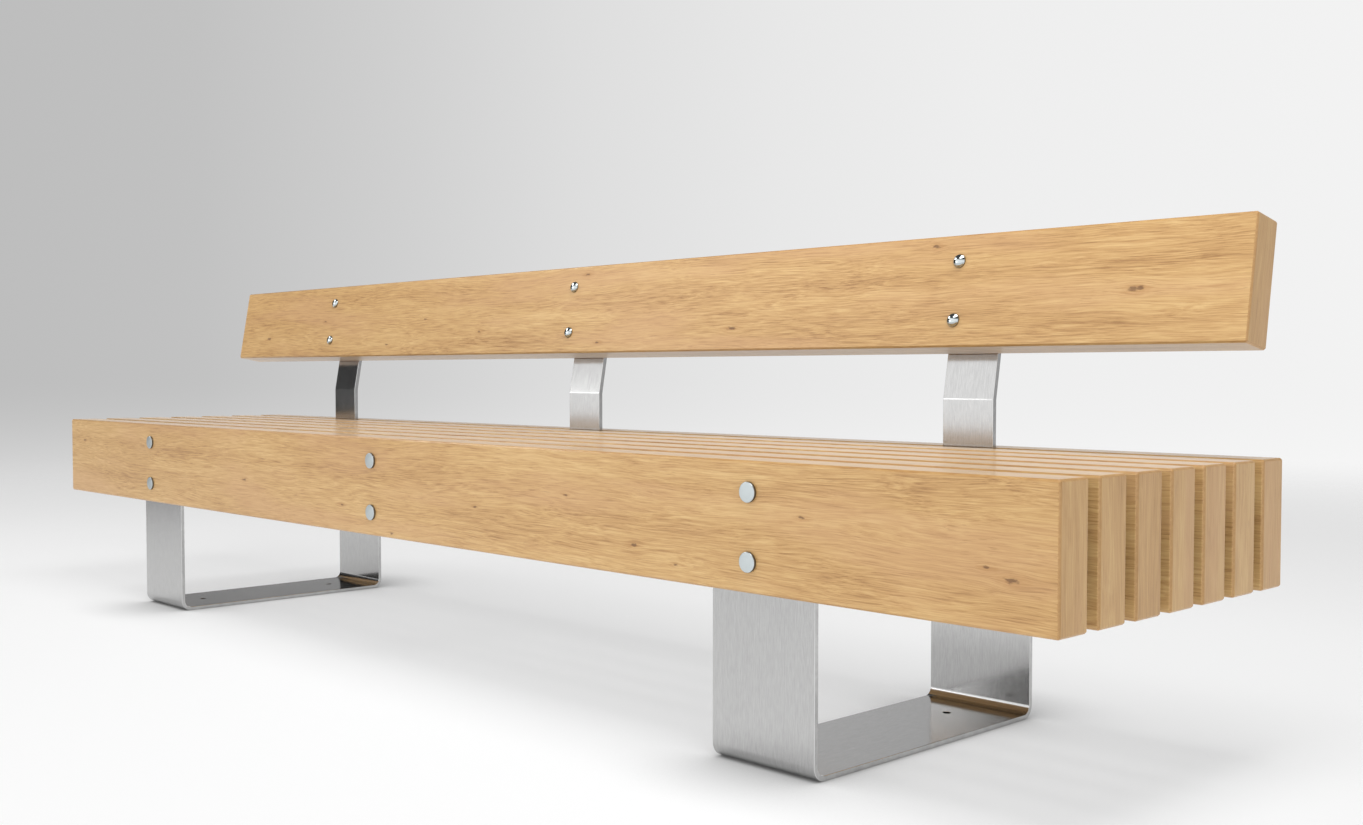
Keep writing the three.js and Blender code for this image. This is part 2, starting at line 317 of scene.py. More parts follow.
def growth_ring(g, grain, pith):
    """Rises from nothing to one across each year's growth round the pith, then drops."""
    from_pith = g.vector("MULTIPLY", g.vector("SUBTRACT", grain, pith), (0, 1, 1))
    ring = g.math("FRACT", g.math("DIVIDE", g.vector("LENGTH", from_pith), RING_WIDTH))
    return g.math("MULTIPLY", g.span(ring, 0.0, 0.8), g.span(ring, 0.86, 1.0, 1.0, 0.0))


def oak_tone(g, grain, turn_x, fibre, ring, mean):
    """How pale the wood is before flecks and knots."""
    streak = g.noise(grain, STREAK_PACKING, detail=3.0, roughness=0.6)
    patch = g.noise(grain, PATCH_PACKING, detail=3.0)
    flare = g.span(g.noise(grain, FLARE_PACKING, detail=2.0, distortion=0.8), 0.52, 0.74)
    return g.total(
        mean,
        (g.math("SUBTRACT", fibre, 0.5), g.span(turn_x, *END_TURN, FIBRE_TONE, END_FIBRE_TONE)),
        (g.math("SUBTRACT", streak, 0.5), STREAK_TONE),
        (g.math("SUBTRACT", patch, 0.5), PATCH_TONE),
        (ring, RING_TONE),
        (flare, FLARE_TONE),
    )


def oak_colour(g, grain, tone, fibre, fleck, core, smear):
    """The colour of the wood on a long face."""
    colour = g.ramp(tone, OAK_TONES)
    pink = g.span(g.noise(grain, PINK_PACKING, detail=2.0), 0.45, 0.7, 0.0, 0.45)
    colour = g.blend(pink, colour, rgba(OAK_PINK))
    colour = g.blend(g.math("MULTIPLY", fleck, 0.55), colour, rgba(OAK_DARK))
    smear = g.math("MULTIPLY", smear, g.span(fibre, 0.38, 0.60, 0.62, 0.15))
    colour = g.blend(smear, colour, rgba(KNOT_SMEAR))
    return g.blend(g.math("MULTIPLY", core, 0.75), colour, rgba(KNOT_CORE))


def timber(name, seed, knots, shade_shift=0.0):
    """Solid oak. The grain runs along the board, and its growth rings lie round a pith beside it."""
    rng = random.Random(seed)
    material, g = new_material(name)
    texture = g.node("ShaderNodeTexCoord")
    turn_x, flattest = facing(g, texture.outputs["Normal"])
    is_end = g.span(turn_x, *END_TURN)
    is_chamfer = g.span(flattest, 0.80, 0.95, 1.0, 0.0)
    place, core, smear = knotted(g, texture.outputs["Object"], knots)

    start = tuple(rng.uniform(-GRAIN_SPREAD, GRAIN_SPREAD) for _ in range(3))
    grain = grain_place(g, place, is_end, start)
    pith_y = start[1] + rng.choice((-1, 1)) * rng.uniform(*PITH_AWAY)
    pith = (0, pith_y, start[2] + rng.uniform(-PITH_HEIGHT_SPREAD, PITH_HEIGHT_SPREAD))
    # A shift given for the back board darkens it as painted shade
    mean = MEAN_TONE + shade_shift + rng.uniform(-BOARD_TONE_SPREAD, BOARD_TONE_SPREAD)

    fibre = g.noise(grain, FIBRE_PACKING, detail=5.0, roughness=0.66)
    fleck = g.span(g.noise(grain, FLECK_PACKING, detail=2.0), 0.62, 0.72)
    fleck = g.math("MULTIPLY", fleck, g.span(g.noise(grain, FLECK_FIELD_PACKING), 0.42, 0.62))
    tone = oak_tone(g, grain, turn_x, fibre, growth_ring(g, grain, pith), mean)
    colour = oak_colour(g, grain, tone, fibre, fleck, core, smear)
    # The ends are darkened, partly for end grain and partly as painted shade
    colour = g.blend(is_end, colour, rgba(OAK_END_GRAIN_AND_SHADE), "MULTIPLY")
    wear = g.noise(texture.outputs["Object"], WEAR_PACKING, detail=3.0)
    # Chamfers are darkened, partly for wear and partly as painted shade along the joints between boards
    worn_and_shaded = g.math("MULTIPLY", is_chamfer, g.span(wear, 0.3, 0.6, 0.45, 1.0))
    colour = g.blend(worn_and_shaded, colour, rgba(OAK_EDGE_WEAR_AND_SHADE), "MULTIPLY")
    bounced = g.node("ShaderNodeLightPath").outputs["Is Diffuse Ray"]
    g.principled({
        "Base Color": g.blend(bounced, colour, rgba(OAK_BOUNCE)),
        "Roughness": g.total(0.50, (fibre, -0.22), (worn_and_shaded, 0.08)),
        "Normal": g.bump(g.total(fibre, (fleck, -0.5), (core, -0.5)), 0.22, 0.4 * MM),
        "IOR": OAK_IOR,
        "Coat Weight": VARNISH,
        "Coat Roughness": VARNISH_ROUGHNESS,
        "Sheen Weight": OAK_SHEEN,
        "Sheen Roughness": OAK_SHEEN_ROUGHNESS,
    })
    return material


# ---------------------------------------------------------------- metal and nylon

STEEL = (0.585, 0.583, 0.580)
STEEL_DULL = (0.46, 0.458, 0.456)
STEEL_EDGE = 0.78
STEEL_ROUGHNESS = 0.07
HOLE_ROUGHNESS = 0.4
BRUSHED_ANISOTROPY = 0.15
BRUSHED_ROTATION = 0.25
BRUSH_PACKING = (1000, 55, 55)
LONG_BRUSH_PACKING = (600, 6, 6)
CLOUD_PACKING = (9, 9, 9)
FILM_PACKING = (90, 90, 90)
SCUFF_PACKING = (900, 900, 260)
MOULDING_PACKING = (1400, 1400, 1400)
NYLON_CLOUD_PACKING = (60, 60, 60)
ZINC = (0.60, 0.65, 0.66)
ZINC_DULL = (0.57, 0.62, 0.63)
# A dark colour painted on the sides of bolts and nuts as shade
SIDE_SHADE_COLOUR = (0.150, 0.135, 0.110)
# The near-black painted shade on the anchor holes' walls
HOLE_SHADE = 0.02
NYLON_DARK = 0.018
NYLON_PALE = 0.032
NYLON_RUBBED = 0.07


def brushed_steel():
    """Flat bar brushed along its length, with paler edges, and rough anchor-hole walls painted near black
    as shade.
    """
    material, g = new_material("brushed_steel")
    texture = g.node("ShaderNodeTexCoord")
    place = texture.outputs["Object"]
    turn_x = g.split(g.vector("ABSOLUTE", texture.outputs["Normal"]))[0]
    on_edge = g.math("MULTIPLY", g.span(turn_x, 0.2, 0.5), g.span(turn_x, 0.9, 0.99, 1.0, 0.0))
    brush = g.noise(place, BRUSH_PACKING, detail=3.0, roughness=0.75)
    long_brush = g.noise(place, LONG_BRUSH_PACKING, detail=2.0)
    cloud = g.noise(place, CLOUD_PACKING, detail=3.0)
    shade = g.total(g.math("MULTIPLY", brush, 0.85), (long_brush, 0.15))
    colour = g.blend(g.span(shade, 0.25, 0.75), rgba(STEEL_DULL), rgba(STEEL))
    colour = g.blend(on_edge, colour, rgba(STEEL_EDGE))
    roughness = g.total(STEEL_ROUGHNESS, (shade, 0.10), (cloud, 0.05))
    leg_low, leg_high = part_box("leg_left")
    for y in (leg_low.y + ANCHOR_HOLE_INSET, leg_high.y - ANCHOR_HOLE_INSET):
        offset = g.vector("MULTIPLY", g.vector("SUBTRACT", place, (0, y, 0)), (1, 1, 0))
        wall = ANCHOR_HOLE_RADIUS + ANCHOR_HOLE_DEBURR / 2
        in_hole = g.math("LESS_THAN", g.vector("LENGTH", offset), wall)
        # Painted shade: the hole's wall is made near black
        colour = g.blend(in_hole, colour, rgba(HOLE_SHADE))
        roughness = g.total(roughness, (in_hole, HOLE_ROUGHNESS))
    g.principled({
        "Base Color": colour,
        "Metallic": 1.0,
        "Roughness": roughness,
        "Anisotropic": BRUSHED_ANISOTROPY,
        "Anisotropic Rotation": BRUSHED_ROTATION,
        "Tangent": g.node("ShaderNodeTangent", direction_type="RADIAL", axis="X").outputs[0],
        "Normal": g.bump(shade, 0.02, 0.05 * MM),
    })
    return material


def bright_steel(name, roughness_low, roughness_high, side_shade):
    """Plated bolts and nuts, with a faint mottled film and small scuffs. Painted shade darkens their
    sides.
    """
    material, g = new_material(name)
    texture = g.node("ShaderNodeTexCoord")
    place = texture.outputs["Object"]
    turn_y = g.split(g.vector("ABSOLUTE", texture.outputs["Normal"]))[1]
    # Surfaces that face sideways get painted shade, as strong as the given share
    shaded_side = g.span(turn_y, 0.25, 0.6, side_shade, 0.0)
    film = g.noise(place, FILM_PACKING, detail=3.0)
    scuff = g.span(g.noise(place, SCUFF_PACKING, detail=2.0), 0.55, 0.8)
    colour = g.blend(g.span(film, 0.3, 0.7), rgba(ZINC_DULL), rgba(ZINC))
    rubbed = g.total(film, (scuff, 0.4))
    g.principled({
        "Base Color": g.blend(shaded_side, colour, rgba(SIDE_SHADE_COLOUR)),
        "Metallic": 1.0,
        "Roughness": g.span(rubbed, 0.3, 0.9, roughness_low, roughness_high),
        "Normal": g.bump(g.math("ADD", film, scuff), 0.006, 0.1 * MM),
    })
    return material


def black_nylon():
    """Moulded nylon with a fine grain, paler where its edges are rubbed."""
    material, g = new_material("black_nylon")
    texture = g.node("ShaderNodeTexCoord")
    flattest = facing(g, texture.outputs["Normal"])[1]
    rubbed = g.span(flattest, 0.75, 0.97, 0.6, 0.0)
    moulding = g.noise(texture.outputs["Object"], MOULDING_PACKING, detail=2.0)
    cloud = g.noise(texture.outputs["Object"], NYLON_CLOUD_PACKING, detail=2.0)
    colour = g.blend(cloud, rgba(NYLON_DARK), rgba(NYLON_PALE))
    g.principled({
        "Base Color": g.blend(rubbed, colour, rgba(NYLON_RUBBED)),
        "Roughness": g.span(moulding, 0.3, 0.7, 0.45, 0.65),
        "Normal": g.bump(moulding, 0.2, 0.05 * MM),
    })
    return material


# ---------------------------------------------------------------- places and meshes


def box_along(node, tilt):
    """The lowest and highest corner of a CAD node, measured along axes that lean back by tilt."""
    upright = Matrix.Rotation(tilt, 3, "X")
    points = [upright @ vertex.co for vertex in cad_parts[node].data.vertices]
    low = Vector(min(point[axis] for point in points) for axis in range(3))
    high = Vector(max(point[axis] for point in points) for axis in range(3))
    return low, high


def piece_of(name, bm):
    """An object at the origin with this bmesh as its mesh."""
    bmesh.ops.recalc_face_normals(bm, faces=bm.faces[:])
    mesh = bpy.data.meshes.new(name)
    bm.to_mesh(mesh)
    bm.free()
    piece = bpy.data.objects.new(name, mesh)
    bpy.context.scene.collection.objects.link(piece)
    return piece


def settle(piece):
    """Turns the piece's modifiers into its own mesh."""
    bpy.context.view_layer.update()
    evaluated = piece.evaluated_get(bpy.context.evaluated_depsgraph_get())
    mesh = bpy.data.meshes.new_from_object(evaluated)
    raw = piece.data
    piece.modifiers.clear()
    piece.data = mesh
    mesh.name = piece.name
    bpy.data.meshes.remove(raw)


def cut(piece, cutters):
    """Takes every cutter, a bmesh in the piece's own axes, away from the piece."""
    whole = bmesh.new()
    for cutter in cutters:
        mesh = bpy.data.meshes.new("cutter")
        cutter.to_mesh(mesh)
        cutter.free()
        whole.from_mesh(mesh)
        bpy.data.meshes.remove(mesh)
    tool = piece_of("cutter", whole)
    modifier = piece.modifiers.new("cut", "BOOLEAN")
    modifier.operation = "DIFFERENCE"
    modifier.solver = "EXACT"
    modifier.object = tool
    settle(piece)
    mesh = tool.data
    bpy.data.objects.remove(tool)
    bpy.data.meshes.remove(mesh)


def complete(piece, node, material, place, tilt=0.0):
    """Shades the piece, puts it in its place and lets it stand for its CAD node."""
    piece.data.materials.clear()
    piece.data.materials.append(material)
    piece.data.shade_smooth()
    piece.data.set_sharp_from_angle(angle=SMOOTH_ANGLE)
    weighted = piece.modifiers.new("normals", "WEIGHTED_NORMAL")
    weighted.keep_sharp = True
    weighted.weight = 100  # the large faces stay flat, and the small ones bend to meet them
    settle(piece)
    piece.matrix_world = Matrix.Rotation(-tilt, 4, "X") @ Matrix.Translation(place)
    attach(piece, "root")
    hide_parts(node)


def block(size):
    """A box of this size around the origin."""
    bm = bmesh.new()
    bmesh.ops.create_cube(bm, size=1)
    bmesh.ops.scale(bm, vec=size, verts=bm.verts)
    return bm


def soften(bm, reach, segments):
    """Bevels every edge. One segment makes a flat chamfer, and more make it round."""
    bmesh.ops.bevel(bm, geom=bm.edges[:], offset=reach, segments=segments, profile=0.5, affect="EDGES")


def skin(bm, rings):
    """Joins each closed ring of vertices to the next with faces."""
    count = len(rings[0])
    for near, far in zip(rings, rings[1:]):
        for step in range(count):
            after = (step + 1) % count
            bm.faces.new((near[step], near[after], far[after], far[step]))


def rod_cutter(radius, length, x, y, z, flare=0.0):
    """A cylinder about an axis along Y, centred on x, y and z. The flare widens both of its ends."""
    half = length / 2
    if not flare:
        profile = [(radius, -half), (radius, half)]
    else:
        inner = half - CUT_OVERRUN - flare
        outer = radius + flare + CUT_OVERRUN
        profile = [(outer, -half), (radius, -inner), (radius, inner), (outer, half)]
    bm = turned(profile)
    bmesh.ops.translate(bm, vec=(x, y, z), verts=bm.verts)
    return bm


def box_cutter(low, high):
    bm = block(high - low)
    bmesh.ops.translate(bm, vec=(low + high) / 2, verts=bm.verts)
    return bm


def turned(profile):
    """A closed solid about the Y axis. Each profile entry is a radius and a place along Y, or a function
    that gives both for an angle. A fan of faces round a point on the axis closes each end."""
    bm = bmesh.new()
    rings = []
    for entry in profile:
        ring = []
        for step in range(ROUND_SIDES):
            angle = 2 * math.pi * step / ROUND_SIDES
            radius, along = entry(angle) if callable(entry) else entry
            ring.append(bm.verts.new((radius * math.cos(angle), along, radius * math.sin(angle))))
        rings.append(ring)
    skin(bm, rings)
    for ring in (rings[0], rings[-1]):
        middle = bm.verts.new((0, sum(vertex.co.y for vertex in ring) / ROUND_SIDES, 0))
        for step in range(ROUND_SIDES):
            bm.faces.new((ring[step], ring[(step + 1) % ROUND_SIDES], middle))
    bmesh.ops.recalc_face_normals(bm, faces=bm.faces[:])
    return bm


def arc(centre, radius, start, end, steps):
    """Points of an arc in a plane, from one angle in degrees to another."""
    points = []
    for step in range(steps + 1):
        angle = math.radians(start + (end - start) * step / steps)
        points.append((centre[0] + radius * math.cos(angle), centre[1] + radius * math.sin(angle)))
    return points


# ---------------------------------------------------------------- boards


def board(node, tilt, material, cutters):
    """A board with softened chamfers. The cutters are made around the board's own middle."""
    low, high = box_along(node, tilt)
    bm = block(high - low)
    soften(bm, BOARD_CHAMFER, 1)
    soften(bm, CHAMFER_SOFTENING, 2)
    piece = piece_of(node + "_timber", bm)
    cut(piece, cutters)
    complete(piece, node, material, (low + high) / 2, tilt)


def hole_cutters(kind, board_node, tilt, radius):
    """Cylinders through a board for all the bolts of a kind, around the board's own middle."""
    low, high = box_along(board_node, tilt)
    middle = (low + high) / 2
    cutters = []
    for station in STATIONS:
        for level in LEVELS:
            bolt_low, bolt_high = box_along(f"{kind}_{station}_{level}", tilt)
            at = (bolt_low + bolt_high) / 2 - middle
            cutters.append(rod_cutter(radius, high.y - low.y + 2 * CUT_OVERRUN, at.x, 0, at.z))
    return cutters


def mortise_cutters(board_node):
    """The slots that take the legs' uprights, around the board's own middle."""
    low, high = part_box(board_node)
    middle = (low + high) / 2
    cutters = []
    for station in LEG_STATIONS:
        leg_low, leg_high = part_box(f"leg_{station}")
        depth = LEG_THICKNESS / 2 + MORTISE_CLEARANCE
        bottom = Vector((leg_low.x - MORTISE_CLEARANCE, middle.y - depth, low.z - CUT_OVERRUN))
        top = Vector((leg_high.x + MORTISE_CLEARANCE, middle.y + depth, leg_high.z + MORTISE_CLEARANCE))
        cutters.append(box_cutter(bottom - middle, top - middle))
    return cutters


# ---------------------------------------------------------------- bars


def section(width, thickness, inset):
    """A rounded rectangle: how far across the bar and how far in from its outer face each point lies."""
    points = []
    radius = BAR_EDGE_RADIUS
    corners = (
        (width / 2 - radius, radius, -90),
        (width / 2 - radius, thickness - radius, 0),
        (radius - width / 2, thickness - radius, 90),
        (radius - width / 2, radius, 180),
    )
    for across, inward, start in corners:
        points += arc((across, inward), radius - inset, start, start + 90, BAR_EDGE_STEPS)
    return points


def flat_bar(name, outline, width, thickness):
    """Sweeps a rounded section along the outline of the bar's outer face: places in Y and Z, each with the
    direction that the face looks in."""
    first, last = outline[0], outline[-1]
    stops = [(*first, BAR_END_CHAMFER)]
    stops.append((*retreat(first, outline[1], BAR_END_CHAMFER), 0.0))
    stops += [(*entry, 0.0) for entry in outline[1:-1]]
    stops.append((*retreat(last, outline[-2], BAR_END_CHAMFER), 0.0))
    stops.append((*last, BAR_END_CHAMFER))
    bm = bmesh.new()
    rings = []
    for y, z, look_y, look_z, inset in stops:
        ring = []
        for across, inward in section(width, thickness, inset):
            ring.append(bm.verts.new((across, y - inward * look_y, z - inward * look_z)))
        rings.append(ring)
    skin(bm, rings)
    bm.faces.new(rings[0])
    bm.faces.new(rings[-1])
    return piece_of(name, bm)


def retreat(end, neighbour, distance):
    """The outline's end moved towards its neighbour."""
    step = Vector((neighbour[0] - end[0], neighbour[1] - end[1])).normalized() * distance
    return end[0] + step.x, end[1] + step.y, end[2], end[3]


def bend(centre, radius, start, end):
    """Outline entries round a bend, each looking away from its centre."""
    entries = []
    for y, z in arc(centre, radius, start, end, BEND_STEPS):
        look = (Vector((y, z)) - Vector(centre)).normalized()
        entries.append((y, z, look.x, look.y))
    return entries


def seat_bolt_z(station, level):
    """The height of a seat bolt's axis."""
    low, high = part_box(f"seat_bolt_{station}_{level}")
    return (low.z + high.z) / 2


def leg(station, material):
    """A U of flat bar, drawn around the bar's middle across the bench."""
    node = f"leg_{station}"
    low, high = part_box(node)
    radius = LEG_OUTER_RADIUS
    outline = [(low.y, high.z, -1, 0)]
    outline += bend((low.y + radius, low.z + radius), radius, 180, 270)
    outline += bend((high.y - radius, low.z + radius), radius, 270, 360)
    outline.append((high.y, high.z, 1, 0))
    piece = flat_bar(node + "_bar", outline, high.x - low.x, LEG_THICKNESS)
    length = LEG_THICKNESS + 2 * CUT_OVERRUN
    cutters = []
    for level in LEVELS:
        for y in (low.y + LEG_THICKNESS / 2, high.y - LEG_THICKNESS / 2):
            cutters.append(rod_cutter(SEAT_HOLE_RADIUS, length, 0, y, seat_bolt_z(station, level)))
    stand = Matrix.Rotation(math.pi / 2, 3, "X")
    for y in (low.y + ANCHOR_HOLE_INSET, high.y - ANCHOR_HOLE_INSET):
        hole = rod_cutter(ANCHOR_HOLE_RADIUS, length, 0, 0, 0, ANCHOR_HOLE_DEBURR)
        bmesh.ops.rotate(hole, cent=(0, 0, 0), matrix=stand, verts=hole.verts)
        bmesh.ops.translate(hole, vec=(0, y, low.z + LEG_THICKNESS / 2), verts=hole.verts)
        cutters.append(hole)
    cut(piece, cutters)
    complete(piece, node, material, Vector(((low.x + high.x) / 2, 0, 0)))


def back_support(station, material):
    """A flat bar that leans back above its bend."""
    node = f"back_support_{station}"
    low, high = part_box(node)
    radius = SUPPORT_OUTER_RADIUS
    tilt = math.degrees(BACK_TILT)
    bend_start_z = SUPPORT_BEND_Z - radius * math.tan(BACK_TILT / 2)
    outline = [(low.y, low.z, -1, 0)]
    outline += bend((low.y + radius, bend_start_z), radius, 180, 180 - tilt)
    outline.append((
        low.y + SUPPORT_TILTED_LENGTH * math.sin(BACK_TILT),
        SUPPORT_BEND_Z + SUPPORT_TILTED_LENGTH * math.cos(BACK_TILT),
        -math.cos(BACK_TILT),
        math.sin(BACK_TILT),
    ))
    piece = flat_bar(node + "_bar", outline, high.x - low.x, SUPPORT_THICKNESS)
    length = SUPPORT_THICKNESS + 2 * CUT_OVERRUN
    lean = Matrix.Rotation(-BACK_TILT, 3, "X")
    cutters = []
    for level in LEVELS:
        middle_y = low.y + SUPPORT_THICKNESS / 2
        cutters.append(rod_cutter(SEAT_HOLE_RADIUS, length, 0, middle_y, seat_bolt_z(station, level)))
        bolt_low, bolt_high = box_along(f"back_bolt_{station}_{level}", BACK_TILT)
        nut_low = box_along(f"back_nut_{station}_{level}", BACK_TILT)[0]
        middle_y = nut_low.y - SUPPORT_THICKNESS / 2
        hole = rod_cutter(BACK_HOLE_RADIUS, length, 0, middle_y, (bolt_low.z + bolt_high.z) / 2)
        bmesh.ops.rotate(hole, cent=(0, 0, 0), matrix=lean, verts=hole.verts)
        cutters.append(hole)
    cut(piece, cutters)
    complete(piece, node, material, Vector(((low.x + high.x) / 2, 0, 0)))


# ---------------------------------------------------------------- bolts, nuts and spacers


def bolt(node, tilt, head, head_height, shank_radius, material):
    """A bolt with the given head profile. Its seat, where the head meets the board, is at y = 0."""
    low, high = box_along(node, tilt)
    end = high.y - low.y - head_height
    shank = [(shank_radius, 0), (shank_radius, end - SHANK_CHAMFER), (shank_radius - SHANK_CHAMFER, end)]
    piece = piece_of(node + "_turned", turned(head + shank))
    place = Vector(((low.x + high.x) / 2, low.y + head_height, (low.z + high.z) / 2))
    complete(piece, node, material, place, tilt)


def seat_head():
    """A flat, faintly crowned disc with a rounded rim."""
    corner = (SEAT_HEAD_RADIUS - SEAT_HEAD_RIM, SEAT_HEAD_RIM + SEAT_HEAD_CROWN - SEAT_HEAD_HEIGHT)
    profile = [(HEAD_TIP_RADIUS, -SEAT_HEAD_HEIGHT)]
    for share in (0.35, 0.7):
        profile.append((share * corner[0], share * share * SEAT_HEAD_CROWN - SEAT_HEAD_HEIGHT))
    profile += arc(corner, SEAT_HEAD_RIM, -90, 0, RIM_STEPS)
    return profile + [(SEAT_HEAD_RADIUS, -SEAT_HEAD_UNDERCUT), (SEAT_HEAD_RADIUS - SEAT_HEAD_UNDERCUT, 0)]


def dome_head():
    """A domed head, half an ellipse in section."""
    profile = [(HEAD_TIP_RADIUS, -DOME_HEIGHT)]
    for step in range(1, DOME_STEPS + 1):
        angle = step / DOME_STEPS * math.pi / 2
        profile.append((DOME_RADIUS * math.sin(angle), -DOME_HEIGHT * math.cos(angle)))
    return profile


def cap_nut(node, tilt, thread_radius, material):
    """A cap nut with a fixed washer: a chamfered hexagon under a domed cap, with its seat at y = 0."""
    low, high = box_along(node, tilt)
    cap_radius = thread_radius + CAP_SIDE_WALL
    apothem = cap_radius + HEXAGON_RIM
    washer_radius = apothem + WASHER_RIM
    chamfer_radius = apothem * HEXAGON_CHAMFER_SHARE
    hexagon_top = WASHER_THICKNESS + HEXAGON_HEIGHT

    def hexagon_radius(angle):
        return apothem / math.cos((angle % (math.pi / 3)) - math.pi / 6)

    def shoulder(angle):
        radius = hexagon_radius(angle)
        return radius, hexagon_top - (radius - chamfer_radius) * math.tan(HEXAGON_CHAMFER_ANGLE)

    hole_radius = thread_radius + THREAD_CLEARANCE
    hole_end = NUT_HEIGHT - CAP_END_WALL
    profile = [(hole_radius, hole_end), (hole_radius, 0), (washer_radius - WASHER_ROUNDING, 0)]
    rim = (washer_radius - WASHER_ROUNDING, WASHER_THICKNESS - WASHER_ROUNDING)
    profile += [(washer_radius, WASHER_ROUNDING / 2)] + arc(rim, WASHER_ROUNDING, 0, 90, WASHER_STEPS)
    profile.append(lambda angle: (hexagon_radius(angle), WASHER_THICKNESS))
    profile += [shoulder, (chamfer_radius, hexagon_top), (cap_radius, hexagon_top)]
    profile += arc((0, NUT_HEIGHT - cap_radius), cap_radius, 0, CAP_END_ANGLE, DOME_STEPS)
    piece = piece_of(node + "_turned", turned(profile))
    place = Vector(((low.x + high.x) / 2, low.y, (low.z + high.z) / 2))
    complete(piece, node, material, place, tilt)


def spacer(station, index, material):
    """A rounded block with a hole for each bolt of its station."""
    node = f"spacer_{station}_{index}"
    low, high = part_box(node)
    middle = (low + high) / 2
    bm = block(high - low)
    soften(bm, SPACER_ROUNDING, 3)
    piece = piece_of(node + "_block", bm)
    cutters = []
    for level in LEVELS:
        z = seat_bolt_z(station, level) - middle.z
        cutters.append(rod_cutter(SEAT_HOLE_RADIUS, high.y - low.y + 2 * CUT_OVERRUN, 0, 0, z))
    cut(piece, cutters)
    complete(piece, node, material, middle)


# ---------------------------------------------------------------- studio

FLOOR_Z = -0.2 * MM
FLOOR_HALF_SIZE = 16
FLOOR_FADE = (2.6, 8.0)  # distance from the bench over which the floor turns into the backdrop
REFLECTED_FLOOR_FADE = (1.6, 4.6)  # the same for the floor that reflections see
FLOOR_WHITE = 0.82
FLOOR_GLOW = 1.16
FLOOR_GLOW_SHARE = 0.42  # how much of the floor is glow, which the lights' shadows don't darken
CONTACT_REACH = 210 * MM
CONTACT_DEPTH = 1.8  # a higher power darkens the floor more where something is close above it
CONTACT_SAMPLES = 8

# The backdrop's grey by heading, in degrees to the left of +Y
BACKDROP = (
    (-180, 0.80), (-90, 0.80), (0, 0.92), (21, 0.89), (34, 0.855), (42, 0.805), (50, 0.73),
    (57, 0.63), (65, 0.535), (75, 0.50), (110, 0.55), (150, 0.75), (180, 0.80),
)
# What reflections see of the studio's walls, by heading: near the horizon, and above it
MIRRORED_LOW = (
    (-180, 1.30), (-120, 1.15), (-90, 0.70), (-60, 0.50), (-20, 0.55), (10, 1.00), (28, 1.45),
    (42, 1.10), (52, 1.00), (62, 1.45), (74, 1.50), (88, 0.20), (97, 0.02), (124, 0.02),
    (126.5, 1.32), (145, 1.36), (180, 1.30),
)
MIRRORED_HIGH = (
    (-180, 1.20), (-120, 1.10), (-90, 0.60), (-60, 0.45), (-20, 0.38), (10, 0.40), (28, 0.44),
    (42, 0.58), (57, 0.25), (74, 0.16), (88, 0.08), (97, 0.01), (124, 0.01), (126.5, 1.25),
    (145, 1.28), (180, 1.20),
)
# The light that the walls give, by heading
SURROUND = (
    (-180, 1.75), (-135, 1.95), (-90, 2.30), (-40, 1.90), (0, 1.40), (21, 1.10), (42, 0.90),
    (57, 0.80), (75, 0.75), (92, 0.80), (110, 1.10), (130, 1.45), (145, 1.60), (180, 1.75),
)

# The greys below the walls and above them
BACKDROP_FLOOR = 0.97
SURROUND_FLOOR = 0.9
SURROUND_CEILING = 0.16
MIRRORED_FLOOR = 0.87
MIRRORED_CEILING = 0.08

# Heights over which one grey turns into the next, as the sine of the angle above the horizon
BACKDROP_FOOT = (-0.16, 0.0)
SURROUND_FOOT = (-0.10, -0.02)
SURROUND_TOP = (0.34, 0.5)
MIRRORED_FOOT = (-0.13, -0.02)
MIRRORED_MIDDLE = (0.06, 0.12)
MIRRORED_TOP = (0.42, 0.52)
REPEAT_FOOT = (0.08, 0.18)
REPEAT_LOSS = 0.9  # the share of the light above its foot that a reflection in a reflection loses
REPEAT_DEPTH = 1.5  # a ray's glossy depth is above this in a reflection in a reflection

# Lights: azimuth from -Y towards -X and elevation, in degrees, then distance, width, height and radiance
SOFTBOXES = {
    "overhead": (-75, 62, 3.2, 2.0, 1.5, 6.8),
    "front": (-24, 50, 3.3, 1.6, 1.0, 2.3),
    "front_left": (66, 38, 3.6, 1.4, 1.0, 5.2),
    "strip": (42, 10, 6.0, 3.0, 0.5, 2.5),
}
LIGHT_TARGET = Vector((0, 0, 0.45))  # the middle of the seat

CAMERA_PLACE = (2.3805, -1.7796, 0.5748)
CAMERA_HEADING = 46.028  # degrees to the left of +Y
CAMERA_DIP = 2.089  # degrees below the horizon
CAMERA_LENS = 37.43
CAMERA_SENSOR = 36
CAMERA_SHIFT = 0.00865
CAMERA_CLIP = (0.05, 200)


def heading_ramp(g, heading, greys):
    """A grey for each heading, which runs from 0 at -180 degrees to 1 at 180."""
    return g.ramp(heading, [((degrees + 180) / 360, grey) for degrees, grey in greys])


